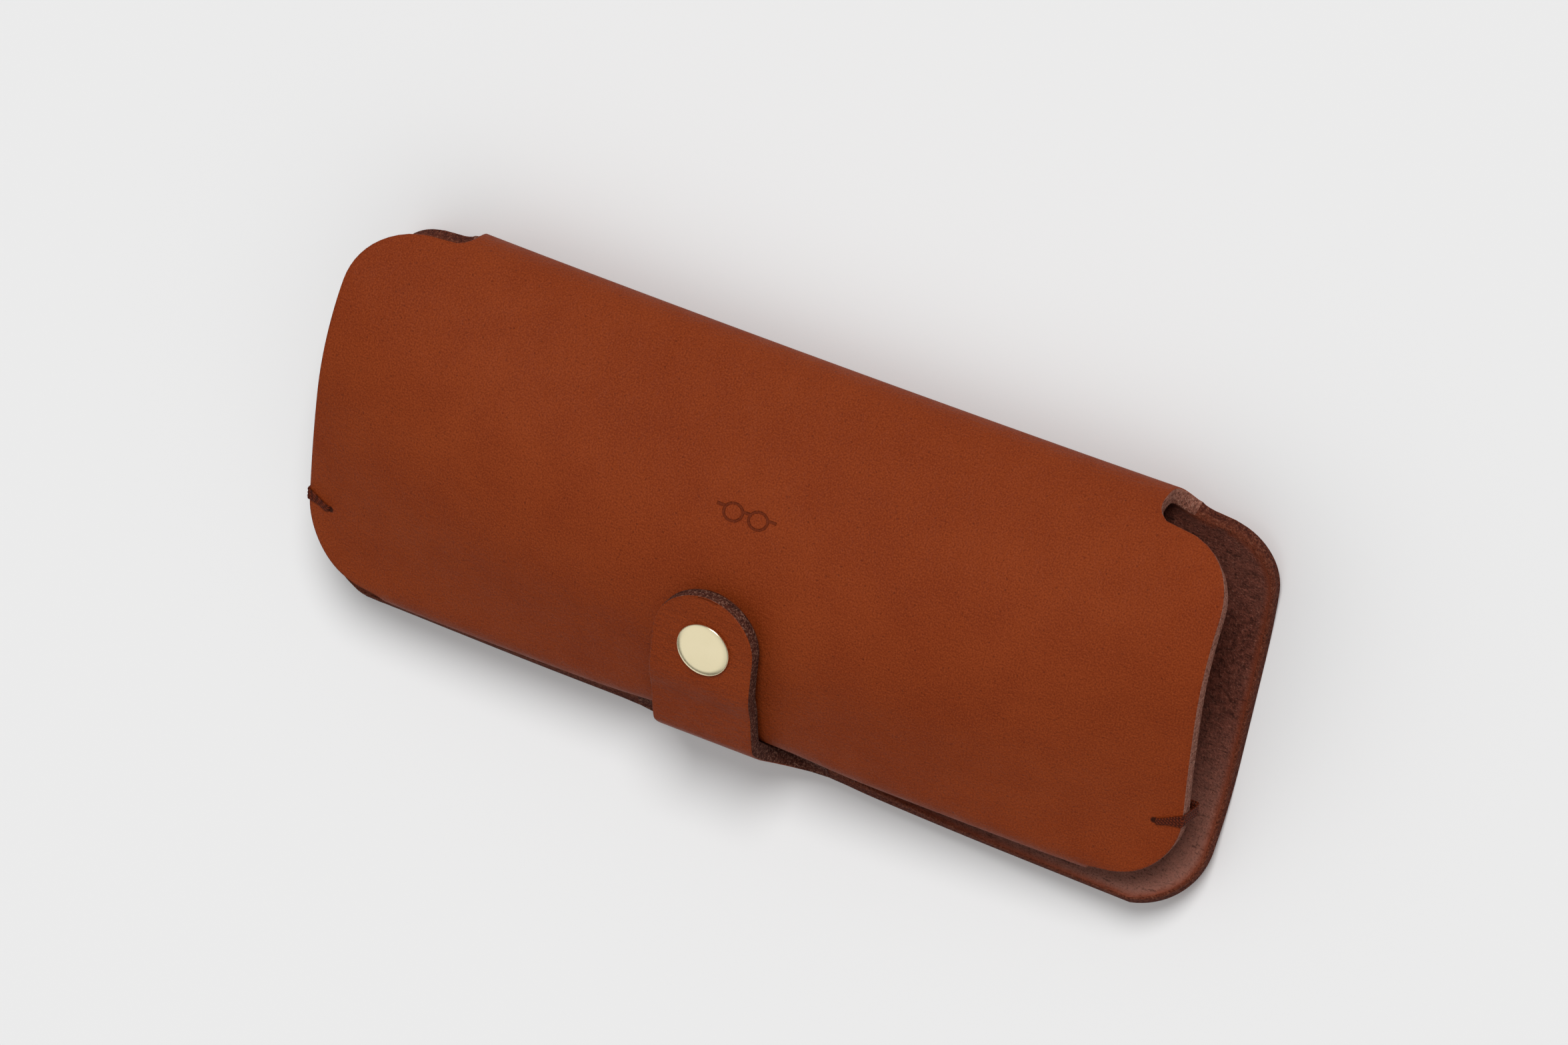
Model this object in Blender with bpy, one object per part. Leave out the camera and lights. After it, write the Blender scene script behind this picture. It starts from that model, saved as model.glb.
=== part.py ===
"""Soft leather eyeglasses case with a snap tab, lying on its back panel, closed.

One sheet of leather, 3 mm thick, makes the whole case. It is followed here from the lower edge
of the back panel, over the top fold, down the front panel, round the bottom fold and up inside
as the inner panel. "s" is the distance along that sheet, "x" the distance across it, and the
heading is the direction of travel in the YZ plane, in degrees from +Y towards +Z. The outer
(grain) face lies on the right of the heading and the leather on its left.

Units: the sizes below are millimetres. The scene is in metres, +X along the case, +Z up.
"""

import math

import bmesh
import bpy
import numpy as np
from mathutils import Matrix, Vector

MM = 0.001
THICK = 3.0
SPLIT_GAP = 0.14
Y_SHIFT = -4.16

# Stations along the sheet, and the heading there in the middle of the case and at its ends.
STATIONS = [0.0, 31.0, 49.2, 73.1, 88.1, 104.1, 122.1, 140.1, 156.1, 169.7, 181.7, 193.7]
MIDDLE_STATIONS = [0.0, 31.0, 49.2, 72.7, 87.7, 104.1, 122.1, 140.1, 154.5, 168.0, 181.7, 193.7]
HEADING_MIDDLE = [-33.0, 0.0, 0.0, 20.3, 151.0, 149.3, 174.6, 205.2, 211.3, 345.0, 355.0, 363.0]
HEADING_END = [-33.0, 0.0, 0.0, 20.3, 129.3, 166.9, 193.2, 198.5, 188.6, 387.0, 377.0, 373.0]
HEADING_SMOOTHING = 4.0
SHEET_STEP = 0.5
FLAT_START = 49.2
FLAT_Y = 14.0
HALF_SECTION = 85.0

# The tab pulls the middle of the back panel's lower edge up and in. Along its length that edge
# lies at a station that slopes a little and bows inwards about the tab's root.
EDGE_CURL = 32.0
EDGE_CURL_LENGTH = 14.0
EDGE_CURL_REACH = 36.0
EDGE_MIDDLE = 2.45
EDGE_SLOPE = 0.0175
EDGE_BOW = 0.75
EDGE_BOW_CENTRE = 3.0
EDGE_BOW_REACH = 17.0
CORNER_START = 0.4

# Outline of the sheet.
BACK_HALF = 86.2
FRONT_HALF = 85.0
INNER_HALF = 83.4
TOP_NOTCH_HALF = 67.0
BOTTOM_NOTCH_HALF = 68.8
BACK_LOWER_RADIUS = 14.0
BACK_UPPER_RADIUS = 11.5
FRONT_UPPER_RADIUS = 14.0
FRONT_LOWER_RADIUS = 14.0
INNER_RADIUS = 12.0
TOP_NOTCH_START = 74.1
TOP_NOTCH_STOP = {-1: 86.9, 1: 90.1}
BOTTOM_NOTCH = (157.6, 169.0)
SHEET_END = 193.6

# Where the sheet is split into named pieces.
BACK_TOP = 75.4
FRONT_TOP = 89.3
FRONT_BOTTOM = 158.4
INNER_START = 168.2

# The strap pinches the bottom fold: there the fold begins this much sooner.
STRAP_PINCH = 1.0
STRAP_PINCH_REACH = 20.0

# Closure tab and snap.
TAB_CENTRE = -1.5
TAB_HALF = 9.65
TAB_FILLET = 9.0
TAB_TIP_STATION = 125.5
TAB_FOLD_STATION = 154.2
TAB_FOLD_CLEARANCE = -0.8
TAB_SNAP_CLEARANCE = 1.45
TAB_REACH = 2.0
TAB_HINGE_LENGTH = 3.0
SNAP_X = -1.0
SNAP_STATION = 134.3
CAP_RADIUS = 5.0
CAP_HEIGHT = 1.2

# Hinge line of the pocket, outside the top fold.
POCKET_HINGE = (39.66, 17.9)

# End stitches.
STITCH_X = 80.5
STITCH_STATION = 144.3
STITCH_RADIUS = 0.75
STITCH_HOLE_RADIUS = 0.95

COLUMNS = 30
X_LEVELS = np.linspace(0.0, 88.0, 34)


def middle_weight(x):
    """1 in the middle of the case, 0 at its ends."""
    return max(0.0, 1.0 - (x / HALF_SECTION) ** 2)


def section_at(x):
    """Stations, points and headings (radians) of the grain face in the plane at x."""
    stations = np.arange(-2.0, SHEET_END + 0.5 * SHEET_STEP, SHEET_STEP)
    weight = middle_weight(x)
    middle_stations = np.array(MIDDLE_STATIONS)
    middle_stations[8:10] -= STRAP_PINCH * math.exp(-((x / STRAP_PINCH_REACH) ** 4))
    middle = np.interp(stations, middle_stations, HEADING_MIDDLE)
    end = np.interp(stations, STATIONS, HEADING_END)
    heading = end + weight * (middle - end)
    half_window = int(HEADING_SMOOTHING / SHEET_STEP / 2)
    window = np.hanning(2 * half_window + 3)[1:-1]
    padded = np.pad(heading, half_window, mode="edge")
    heading = np.convolve(padded, window / window.sum(), mode="valid")
    curl = np.clip(1.0 - stations / EDGE_CURL_LENGTH, 0.0, None) ** 2
    heading = heading - EDGE_CURL * curl * math.exp(-((x / EDGE_CURL_REACH) ** 4))
    heading = np.radians(heading)
    between = 0.5 * (heading[1:] + heading[:-1])
    y = np.concatenate([[0.0], np.cumsum(np.cos(between) * SHEET_STEP)])
    z = np.concatenate([[0.0], np.cumsum(np.sin(between) * SHEET_STEP)])
    y += FLAT_Y - np.interp(FLAT_START, stations, y)
    z -= z.min()
    return stations, y + Y_SHIFT, z, heading


SECTIONS = [section_at(x) for x in X_LEVELS]


def on_sheet(x, s, depth=0.0):
    """Point at x and s, the given depth under the grain face."""
    level = min(abs(x) / (X_LEVELS[1] - X_LEVELS[0]), len(X_LEVELS) - 1.001)
    low = int(level)
    blend = level - low
    found = []
    for stations, y, z, heading in SECTIONS[low : low + 2]:
        found.append([np.interp(s, stations, values) for values in (y, z, heading)])
    y, z, heading = (1.0 - blend) * np.array(found[0]) + blend * np.array(found[1])
    return Vector((x, y - depth * math.sin(heading), z + depth * math.cos(heading)))


def outward(x, s):
    """Unit normal of the grain face, away from the leather."""
    return (on_sheet(x, s) - on_sheet(x, s, 1.0)).normalized()


def edge_station(x):
    """Station of the back panel's lower edge."""
    bow = EDGE_BOW * math.exp(-(((x - EDGE_BOW_CENTRE) / EDGE_BOW_REACH) ** 4))
    return EDGE_MIDDLE - EDGE_SLOPE * x + bow


def rounded(half, radius, distance):
    """Half width at this distance inside an edge with a rounded corner."""
    if distance >= radius:
        return half
    rise = radius - max(distance, 0.0)
    return half - radius + math.sqrt(radius**2 - rise**2)


def notch_side(panel_half, radius, notch_half, distance):
    """Half width beyond a panel's shoulder, where a hollow fillet runs into the notch."""
    shoulder = panel_half - radius
    fillet = shoulder - notch_half
    if distance >= fillet:
        return notch_half
    return notch_half + fillet - math.sqrt(fillet**2 - (fillet - distance) ** 2)


def half_width(s, side):
    """Distance from the middle to the sheet's end at station s, on the side -1 or 1."""
    top_a, top_b = TOP_NOTCH_START, TOP_NOTCH_STOP[side]
    low_a, low_b = BOTTOM_NOTCH
    if s <= top_a:
        lower = rounded(BACK_HALF, BACK_LOWER_RADIUS, s + CORNER_START)
        return min(lower, rounded(BACK_HALF, BACK_UPPER_RADIUS, top_a - s))
    if s <= top_b:
        from_back = notch_side(BACK_HALF, BACK_UPPER_RADIUS, TOP_NOTCH_HALF, s - top_a)
        from_front = notch_side(FRONT_HALF, FRONT_UPPER_RADIUS, TOP_NOTCH_HALF, top_b - s)
        return max(from_back, from_front)
    if s <= low_a:
        upper = rounded(FRONT_HALF, FRONT_UPPER_RADIUS, s - top_b)
        return min(upper, rounded(FRONT_HALF, FRONT_LOWER_RADIUS, low_a - s))
    if s <= low_b:
        from_front = notch_side(FRONT_HALF, FRONT_LOWER_RADIUS, BOTTOM_NOTCH_HALF, s - low_a)
        from_inner = notch_side(INNER_HALF, INNER_RADIUS, BOTTOM_NOTCH_HALF, low_b - s)
        return max(from_front, from_inner)
    lower = rounded(INNER_HALF, INNER_RADIUS, s - low_b)
    return min(lower, rounded(INNER_HALF, 6.0, SHEET_END - s))


def rows_between(start, stop, fine_ends):
    """Stations from start to stop, closer together near the rounded ends."""
    fine, coarse, reach = 1.3, 4.2, 13.0
    rows = [start]
    while rows[-1] < stop - 0.01:
        here = rows[-1]
        near_start = fine_ends[0] and here - start < reach
        near_stop = fine_ends[1] and stop - here < reach + coarse
        rows.append(here + (fine if near_start or near_stop else coarse))
    excess = (rows[-1] - stop) / (len(rows) - 1)
    return [row - excess * index for index, row in enumerate(rows)]


def new_material(name, colour, roughness, metallic=0.0):
    material = bpy.data.materials.new(name)
    material.use_nodes = True
    shader = material.node_tree.nodes["Principled BSDF"]
    shader.inputs["Base Color"].default_value = (*colour, 1.0)
    shader.inputs["Roughness"].default_value = roughness
    shader.inputs["Metallic"].default_value = metallic
    material.diffuse_color = (*colour, 1.0)
    return material


def add_object(name, mesh, look, parent=None, placing=None):
    """Link a mesh in millimetres as an object, at rest in the given placing (in metres)."""
    mesh.transform(Matrix.Scale(MM, 4))
    mesh.update()
    obj = bpy.data.objects.new(name, mesh)
    bpy.context.scene.collection.objects.link(obj)
    obj.data.materials.append(new_material(name + "_material", *look))
    if placing is not None:
        obj.matrix_world = placing
    if parent is not None:
        world = obj.matrix_world.copy()
        obj.parent = parent
        obj.matrix_parent_inverse = parent.matrix_world.inverted()
        obj.matrix_world = world
    return obj


def slab_mesh(name, outer, inner):
    """Closed mesh between two grids of points with the same rows and columns."""
    rows, columns = len(outer), len(outer[0])
    points = [point for grid in (outer, inner) for row in grid for point in row]

    def at(side, row, column):
        return side * rows * columns + row * columns + column

    faces = []
    for r in range(rows - 1):
        for c in range(columns - 1):
            faces.append([at(0, r, c), at(0, r, c + 1), at(0, r + 1, c + 1), at(0, r + 1, c)])
            faces.append([at(1, r, c), at(1, r + 1, c), at(1, r + 1, c + 1), at(1, r, c + 1)])
    rim = [(0, c) for c in range(columns)]
    rim += [(r, columns - 1) for r in range(1, rows)]
    rim += [(rows - 1, c) for c in range(columns - 2, -1, -1)]
    rim += [(r, 0) for r in range(rows - 2, 0, -1)]
    for (r0, c0), (r1, c1) in zip(rim, rim[1:] + rim[:1]):
        faces.append([at(0, r1, c1), at(0, r0, c0), at(1, r0, c0), at(1, r1, c1)])
    mesh = bpy.data.meshes.new(name)
    mesh.from_pydata(points, [], faces)
    work = bmesh.new()
    work.from_mesh(mesh)
    bmesh.ops.recalc_face_normals(work, faces=work.faces)
    work.to_mesh(mesh)
    work.free()
    return mesh


def sheet_panel(name, start, stop, fine_ends, pulled=False):
    """Part of the sheet between two stations."""
    outer, inner = [], []
    for s in rows_between(start, stop, fine_ends):
        halves = {side: half_width(s, side) for side in (-1, 1)}
        outer_row, inner_row = [], []
        for column in range(COLUMNS + 1):
            share = 2.0 * column / COLUMNS - 1.0
            x = share * halves[1 if share > 0.0 else -1]
            along = s
            if pulled:
                along += edge_station(x) * max(0.0, 1.0 - s / 30.0)
            outer_row.append(on_sheet(x, along))
            inner_row.append(on_sheet(x, along, THICK))
        outer.append(outer_row)
        inner.append(inner_row)
    return slab_mesh(name, outer, inner)


def flattened_at_snap(stations, over):
    """The snap's flat parts hold the strap straight under them; the rest of it follows."""
    path = np.array(over)[:, 1:]
    steps = np.diff(path, axis=0)
    lengths = np.linalg.norm(steps, axis=1)
    turns = np.arctan2(steps[:, 1], steps[:, 0])
    middles = 0.5 * (stations[1:] + stations[:-1])
    normal = outward(SNAP_X, SNAP_STATION)
    snap_turn = math.atan2(-normal.y, normal.z)
    beyond = middles - SNAP_STATION
    hold = np.where(beyond > 0.0, (9.5 - beyond) / 4.5, (15.0 + beyond) / 10.0)
    hold = np.clip(hold, 0.0, 1.0)
    turns = turns + hold * (snap_turn - turns)
    y = np.concatenate([[0.0], np.cumsum(lengths * np.cos(turns))])
    z = np.concatenate([[0.0], np.cumsum(lengths * np.sin(turns))])
    y += np.interp(-SNAP_STATION, -stations, path[:, 0] - y)
    z += np.interp(-SNAP_STATION, -stations, path[:, 1] - z)
    return [Vector((0.0, a, b)) for a, b in zip(y, z)]


def tab_line():
    """Grain face of the closure tab on the centre line, from the back panel's edge to the tip."""
    root_station = edge_station(TAB_CENTRE)
    root = on_sheet(TAB_CENTRE, root_station)
    away = (root - on_sheet(TAB_CENTRE, root_station + 0.5)).normalized()
    stations = np.linspace(TAB_FOLD_STATION, TAB_TIP_STATION, 40)
    clearances = np.interp(
        stations,
        [TAB_TIP_STATION, SNAP_STATION, TAB_FOLD_STATION - 8.0],
        [TAB_SNAP_CLEARANCE + 0.25, TAB_SNAP_CLEARANCE, TAB_FOLD_CLEARANCE],
    )
    over = [
        on_sheet(0.0, s) + outward(0.0, s) * (gap + THICK)
        for s, gap in zip(stations, clearances)
    ]
    over = flattened_at_snap(stations, over)
    along = (over[1] - over[0]).normalized()
    handles = [root, root + away * TAB_REACH, over[0] - along * TAB_REACH, over[0]]
    wrap = []
    for i in range(30):
        t = i / 30.0
        weights = [(1 - t) ** 3, 3 * t * (1 - t) ** 2, 3 * t**2 * (1 - t), t**3]
        wrap.append(sum((h * w for h, w in zip(handles, weights)), Vector()))
    points = np.array(wrap + over)[:, 1:]
    lengths = np.concatenate([[0.0], np.cumsum(np.linalg.norm(np.diff(points, axis=0), axis=1))])
    even = np.linspace(0.0, lengths[-1], 121)
    y = np.interp(even, lengths, points[:, 0])
    z = np.interp(even, lengths, points[:, 1])
    turn = np.unwrap(np.arctan2(np.gradient(z), np.gradient(y)))
    turn[:2] = math.atan2(away.z, away.y)
    return even, y, z, turn


def tab_panel(name, line, start, stop, fine_end):
    """Part of the tab between two lengths along its line."""
    lengths, line_y, line_z, line_turn = line
    total = lengths[-1]
    root = on_sheet(TAB_CENTRE, edge_station(TAB_CENTRE))
    count = max(6, round((stop - start) / 0.9))
    outer, inner = [], []
    for i in range(count + 1):
        t = start + (stop - start) * i / count
        if fine_end:
            t = start + (stop - start) * math.sin(0.5 * math.pi * i / count)
        half = TAB_HALF
        if t < TAB_FILLET:
            half += TAB_FILLET - math.sqrt(TAB_FILLET**2 - (TAB_FILLET - t) ** 2)
        if total - t < TAB_HALF:
            rise = TAB_HALF - (total - t)
            half = math.sqrt(max(TAB_HALF**2 - rise**2, 0.8**2))
        y, z, turn = (np.interp(t, lengths, v) for v in (line_y, line_z, line_turn))
        sin, cos = math.sin(turn), math.cos(turn)
        ease = max(0.0, 1.0 - t / TAB_FILLET) ** 2
        outer_row, inner_row = [], []
        for column in range(9):
            x = TAB_CENTRE + half * (column / 4.0 - 1.0)
            edge = on_sheet(x, edge_station(x)) - root
            shift = edge * ease
            outer_row.append(Vector((x, y + shift.y, z + shift.z)))
            inner_row.append(Vector((x, y + shift.y + THICK * sin, z + shift.z - THICK * cos)))
        outer.append(outer_row)
        inner.append(inner_row)
    return slab_mesh(name, outer, inner)


def lathe_mesh(name, profile, steps=32):
    """Closed solid of revolution about local Z from a profile of (radius, height) points."""
    work = bmesh.new()
    rings = []
    for radius, height in profile:
        if radius < 1e-6:
            rings.append([work.verts.new((0.0, 0.0, height))])
            continue
        ring = []
        for i in range(steps):
            angle = 2.0 * math.pi * i / steps
            ring.append(work.verts.new((radius * math.cos(angle), radius * math.sin(angle), height)))
        rings.append(ring)
    closed = profile[0][0] > 1e-6
    pairs = list(zip(rings, rings[1:] + rings[:1])) if closed else list(zip(rings, rings[1:]))
    for first, second in pairs:
        for i in range(steps):
            j = (i + 1) % steps
            corners = [first[i % len(first)], first[j % len(first)]]
            corners += [second[j % len(second)], second[i % len(second)]]
            unique = list(dict.fromkeys(corners))
            if len(unique) > 2:
                work.faces.new(unique)
    bmesh.ops.recalc_face_normals(work, faces=work.faces)
    for face in work.faces:
        face.smooth = True
    mesh = bpy.data.meshes.new(name)
    work.to_mesh(mesh)
    work.free()
    return mesh


def placing_on(point, normal):
    """World matrix with local Z along the normal and the origin on the point (millimetres)."""
    turn = Vector((0.0, 0.0, 1.0)).rotation_difference(normal).to_matrix().to_4x4()
    return Matrix.Translation(point * MM) @ turn


def cut_hole(obj, placing, radius, reach):
    """Bore a round hole through an object along the local Z of the placing."""
    cutter_mesh = lathe_mesh(
        obj.name + "_hole", [(0.0, -reach), (radius, -reach), (radius, reach), (0.0, reach)], 20
    )
    cutter = add_object(obj.name + "_cutter", cutter_mesh, ((0.5, 0.5, 0.5), 0.5), None, placing)
    boolean = obj.modifiers.new("hole", "BOOLEAN")
    boolean.operation = "DIFFERENCE"
    boolean.solver = "EXACT"
    boolean.object = cutter
    cutter.hide_render = True
    cutter.hide_viewport = False
    cutter.display_type = "WIRE"


def thread_mesh(name, side):
    """Bundle of thread as one closed loop round the end of the front and inner panels."""
    near = STITCH_X
    far = half_width(STITCH_STATION, side) + STITCH_RADIUS + 0.35
    lift = STITCH_RADIUS + 0.15
    inner_station, sink = stitch_on_inner_panel()
    top_in = on_sheet(side * near, STITCH_STATION) + outward(near, STITCH_STATION) * lift
    top_out = on_sheet(side * far, STITCH_STATION) + outward(near, STITCH_STATION) * lift
    low_in = on_sheet(side * near, inner_station) + sink * lift
    low_out = on_sheet(side * far, inner_station) + sink * lift
    low_in.x, low_out.x = side * near, side * far
    top_in.x, top_out.x = side * near, side * far
    corners = [top_in, top_out, low_out, low_in]
    path = []
    for i in range(4):
        before, here, after = corners[i - 1], corners[i], corners[(i + 1) % 4]
        radius = 0.9
        entry = here + (before - here).normalized() * radius
        leave = here + (after - here).normalized() * radius
        for k in range(5):
            t = k / 4.0
            path.append(entry * (1 - t) ** 2 + here * 2 * t * (1 - t) + leave * t**2)
    work = bmesh.new()
    rings = []
    flat = (corners[1] - corners[0]).cross(corners[3] - corners[0]).normalized()
    for i, point in enumerate(path):
        forward = (path[(i + 1) % len(path)] - path[i - 1]).normalized()
        side_way = forward.cross(flat).normalized()
        ring = []
        for k in range(10):
            angle = 2.0 * math.pi * k / 10
            offset = flat * math.cos(angle) + side_way * math.sin(angle)
            ring.append(work.verts.new(point + offset * STITCH_RADIUS))
        rings.append(ring)
    for first, second in zip(rings, rings[1:] + rings[:1]):
        for k in range(10):
            j = (k + 1) % 10
            work.faces.new([first[k], first[j], second[j], second[k]])
    bmesh.ops.recalc_face_normals(work, faces=work.faces)
    for face in work.faces:
        face.smooth = True
    mesh = bpy.data.meshes.new(name)
    work.to_mesh(mesh)
    work.free()
    return mesh


def stitch_on_inner_panel():
    """Station on the inner panel straight under the stitch, and the way out of its grain face."""
    top = on_sheet(STITCH_X, STITCH_STATION)
    down = -outward(STITCH_X, STITCH_STATION)
    best = min(
        np.arange(INNER_START + 3.0, SHEET_END - 3.0, 0.1),
        key=lambda s: (on_sheet(STITCH_X, s) - top).cross(down).length,
    )
    return float(best), outward(STITCH_X, float(best))


def build():
    for obj in list(bpy.data.objects):
        bpy.data.objects.remove(obj)
    leather = ((0.190, 0.045, 0.014), 0.42)
    leather_inside = ((0.060, 0.020, 0.012), 0.85)
    brass = ((0.70, 0.62, 0.42), 0.28, 1.0)
    thread = ((0.115, 0.030, 0.012), 0.75)

    line = tab_line()
    cut = TAB_HINGE_LENGTH
    hinge_y, hinge_z, hinge_turn = (np.interp(cut, line[0], values) for values in line[1:])
    tab_hinge = Vector((0.0, hinge_y, hinge_z))
    tab_hinge += Vector((0.0, -math.sin(hinge_turn), math.cos(hinge_turn))) * 0.15

    pocket_axis = bpy.data.objects.new("pocket_hinge_axis", None)
    pocket_axis.location = Vector((0.0, POCKET_HINGE[0] + Y_SHIFT, POCKET_HINGE[1])) * MM
    tab_axis = bpy.data.objects.new("tab_hinge_axis", None)
    tab_axis.location = tab_hinge * MM
    for axis in (pocket_axis, tab_axis):
        bpy.context.scene.collection.objects.link(axis)
    bpy.context.view_layer.update()
    print("pocket hinge", [round(v, 6) for v in pocket_axis.location])
    print("tab hinge", [round(v, 6) for v in tab_axis.location])

    gap = 0.5 * SPLIT_GAP
    back = sheet_panel("back_panel", 0.0, BACK_TOP - gap, (True, True), pulled=True)
    add_object("back_panel", back, leather)
    fold = sheet_panel("top_fold", BACK_TOP + gap, FRONT_TOP - gap, (True, True))
    add_object("top_fold", fold, leather)
    front = sheet_panel("front_panel", FRONT_TOP + gap, FRONT_BOTTOM - gap, (True, True))
    front_panel = add_object("front_panel", front, leather, pocket_axis)
    fold = sheet_panel("bottom_fold", FRONT_BOTTOM + gap, INNER_START - gap, (True, True))
    add_object("bottom_fold", fold, leather, pocket_axis)
    inner = sheet_panel("inner_panel", INNER_START + gap, SHEET_END, (True, True))
    inner_panel = add_object("inner_panel", inner, leather_inside, pocket_axis)

    root = tab_panel("tab_root", line, 1.5 * SPLIT_GAP, cut - gap, False)
    add_object("tab_root", root, leather)
    strap = tab_panel("closure_tab", line, cut + gap, float(line[0][-1]), True)
    closure_tab = add_object("closure_tab", strap, leather, tab_axis)

    normal = outward(SNAP_X, SNAP_STATION)
    base = on_sheet(SNAP_X, SNAP_STATION)
    under = base + normal * TAB_SNAP_CLEARANCE
    top = under + normal * THICK
    cap_profile = [
        (0.0, CAP_HEIGHT), (1.8, 1.17), (3.4, 1.03), (4.4, 0.78), (4.88, 0.45), (CAP_RADIUS, 0.22),
        (4.9, 0.08), (2.6, 0.06), (2.6, -2.9), (1.8, -2.9), (1.8, 0.3), (0.0, 0.3),
    ]
    socket_profile = [(4.2, -0.06), (4.2, -0.75), (4.0, -0.86), (2.5, -0.86), (2.5, -0.06)]
    stud_profile = [
        (0.0, 1.28), (1.6, 1.28), (1.95, 1.1), (2.0, 0.85), (1.85, 0.5), (3.9, 0.46), (4.0, 0.3),
        (4.0, 0.06), (0.0, 0.06),
    ]
    post_profile = [
        (1.5, 0.0), (1.5, -3.36), (3.8, -3.36), (3.9, -3.5), (3.7, -3.8), (1.0, -3.9), (1.0, 0.0),
    ]
    seat = placing_on(top, normal)
    add_object("snap_cap", lathe_mesh("snap_cap", cap_profile), brass, tab_axis, seat)
    cut_hole(closure_tab, seat, 2.7, 6.0)
    seat = placing_on(under, normal)
    add_object("snap_socket", lathe_mesh("snap_socket", socket_profile), brass, tab_axis, seat)
    seat = placing_on(base, normal)
    add_object("snap_stud", lathe_mesh("snap_stud", stud_profile), brass, pocket_axis, seat)
    add_object("snap_post", lathe_mesh("snap_post", post_profile), brass, pocket_axis, seat)
    cut_hole(front_panel, seat, 1.6, 6.0)

    inner_station, sink = stitch_on_inner_panel()
    for label, side in (("left", -1), ("right", 1)):
        name = "stitch_" + label
        add_object(name, thread_mesh(name, side), thread, pocket_axis)
        high = on_sheet(side * STITCH_X, STITCH_STATION)
        low = on_sheet(side * STITCH_X, inner_station)
        hole = placing_on((high + low) * 0.5, (high - low).normalized())
        cut_hole(front_panel, hole, STITCH_HOLE_RADIUS, 9.0)
        cut_hole(inner_panel, hole, STITCH_HOLE_RADIUS, 9.0)


build()
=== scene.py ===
"""Leather eyeglasses case, closed, lying on its back panel on a pale floor.

The leather is one sheet 3 mm thick. "s" is the distance along the sheet from the back panel's
lower edge, "x" the distance across it, and the heading is the direction of travel in the YZ
plane, in degrees from +Y towards +Z. Sheet sizes are in millimetres; the scene is in metres.
"""

import math
import random

import bmesh
import bpy
import numpy as np
from mathutils import Matrix, Vector


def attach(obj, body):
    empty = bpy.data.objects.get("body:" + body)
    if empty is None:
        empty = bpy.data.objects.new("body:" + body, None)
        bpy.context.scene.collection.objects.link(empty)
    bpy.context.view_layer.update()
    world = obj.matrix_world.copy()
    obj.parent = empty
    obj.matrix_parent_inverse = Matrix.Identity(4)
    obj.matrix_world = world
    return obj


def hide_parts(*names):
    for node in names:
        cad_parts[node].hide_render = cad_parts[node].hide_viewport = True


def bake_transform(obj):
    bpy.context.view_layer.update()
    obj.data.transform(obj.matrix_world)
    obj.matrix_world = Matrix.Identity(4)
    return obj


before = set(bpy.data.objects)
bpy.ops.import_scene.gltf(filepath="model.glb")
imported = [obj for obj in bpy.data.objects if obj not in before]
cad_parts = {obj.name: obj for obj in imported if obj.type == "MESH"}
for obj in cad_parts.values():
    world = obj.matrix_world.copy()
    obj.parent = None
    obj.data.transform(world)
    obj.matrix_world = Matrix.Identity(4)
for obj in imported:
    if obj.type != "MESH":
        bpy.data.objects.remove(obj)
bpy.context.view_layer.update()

MM = 0.001
THICK = 3.0
Y_SHIFT = -4.16

# Stations along the sheet, and the heading there in the middle of the case and at its ends.
STATIONS = [0.0, 31.0, 49.2, 73.1, 88.1, 104.1, 122.1, 140.1, 156.1, 169.7, 181.7, 193.7]
MIDDLE_STATIONS = [0.0, 31.0, 49.2, 72.7, 87.7, 104.1, 122.1, 140.1, 154.5, 168.0, 181.7, 193.7]
HEADING_MIDDLE = [-33.0, 0.0, 0.0, 20.3, 151.0, 149.3, 174.6, 205.2, 211.3, 345.0, 355.0, 363.0]
HEADING_END = [-33.0, 0.0, 0.0, 20.3, 129.3, 166.9, 193.2, 198.5, 188.6, 387.0, 377.0, 373.0]
HEADING_SMOOTHING = 4.0
SHEET_STEP = 0.5
FLAT_START = 49.2
FLAT_Y = 14.0
HALF_SECTION = 85.0

# The tab pulls the middle of the back panel's lower edge up and in. Along its length that edge
# lies at a station that slopes a little and bows inwards about the tab's root.
EDGE_CURL = 32.0
EDGE_CURL_LENGTH = 14.0
EDGE_CURL_REACH = 36.0
EDGE_MIDDLE = 2.45
EDGE_SLOPE = 0.0175
EDGE_BOW = 0.75
EDGE_BOW_CENTRE = 3.0
EDGE_BOW_REACH = 17.0
CORNER_START = 0.4

# Outline of the sheet.
BACK_HALF = 86.2
FRONT_HALF = 85.0
INNER_HALF = 83.4
TOP_NOTCH_HALF = 67.0
BOTTOM_NOTCH_HALF = 68.8
BACK_LOWER_RADIUS = 14.0
BACK_UPPER_RADIUS = 11.5
FRONT_UPPER_RADIUS = 14.0
FRONT_LOWER_RADIUS = 14.0
INNER_RADIUS = 12.0
INNER_END_RADIUS = 6.0
TOP_NOTCH_START = 74.1
TOP_NOTCH_STOP = {-1: 86.9, 1: 90.1}
BOTTOM_NOTCH = (157.6, 169.0)
SHEET_END = 193.6
BACK_TOP = 75.4

# The strap pinches the bottom fold: there the fold begins this much sooner.
STRAP_PINCH = 1.0
STRAP_PINCH_REACH = 20.0

# Closure tab and snap. The strap is straight near the snap and follows the sheet further off.
TAB_CENTRE = -1.5
TAB_HALF = 9.65
TAB_FILLET = 9.0
TAB_TIP_STATION = 125.5
TAB_FOLD_STATION = 154.2
TAB_FOLD_CLEARANCE = -0.8
TAB_SNAP_CLEARANCE = 1.45
TAB_REACH = 2.0
SNAP_X = -1.0
SNAP_STATION = 134.3
SNAP_FLAT = 5.0
RELEASE_TO_FOLD = 9.5
RELEASE_TO_TIP = 15.0

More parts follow.
